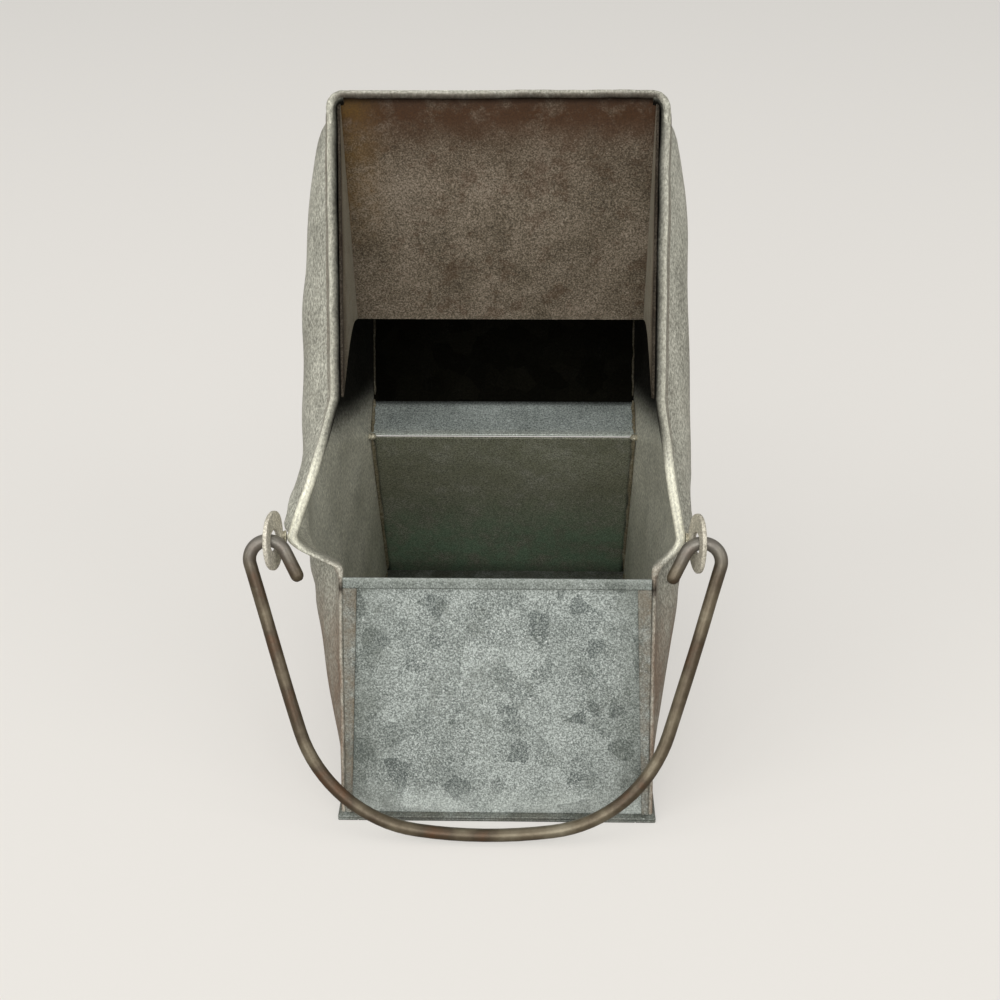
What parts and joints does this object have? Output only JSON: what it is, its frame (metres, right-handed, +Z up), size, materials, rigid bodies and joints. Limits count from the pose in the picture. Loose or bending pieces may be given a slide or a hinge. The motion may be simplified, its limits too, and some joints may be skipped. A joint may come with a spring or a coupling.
{
  "type": "small sheet metal pail with a hooded mouth",
  "caption": "Upright tinned sheet vessel with a leaning covered front, a hooded open mouth, a waisted back, flared side sheets and a wire bail that swings in two washer-like ears.",
  "frame": {"origin": "on the table, midway between the side sheets, at the foot of the front plate", "axes": "+X to the right, +Y from the front to the back, +Z up"},
  "size_m": [0.1161, 0.1344, 0.1677],
  "materials": {
    "zinc": "dull galvanised sheet with soft spangles",
    "dull_zinc": "weathered galvanised sheet, brown-grey and matt",
    "side_zinc": "weathered galvanised sheet with pale folded hems and rust in the seams",
    "ear_steel": "pale dull tinned steel",
    "rusty_wire": "brown-grey iron wire, lightly rusted"
  },
  "bodies": {
    "shell": {"base_plate": "zinc", "front_plate": "zinc", "lower_back": "dull_zinc", "ledge": "zinc", "upper_back": "dull_zinc", "roof": "zinc", "hood_tray": "dull_zinc", "left_side": "side_zinc", "right_side": "side_zinc", "left_ear": "ear_steel", "right_ear": "ear_steel"},
    "bail": {"bail": "rusty_wire"}
  },
  "joints": [
    {"name": "bail_swing", "type": "hinge", "parent": "shell", "child": "bail", "pos_m": [-0.00285, 0.01795, 0.06882], "axis": [-1, 0, 0], "range_deg": [0, 177]}
  ]
}
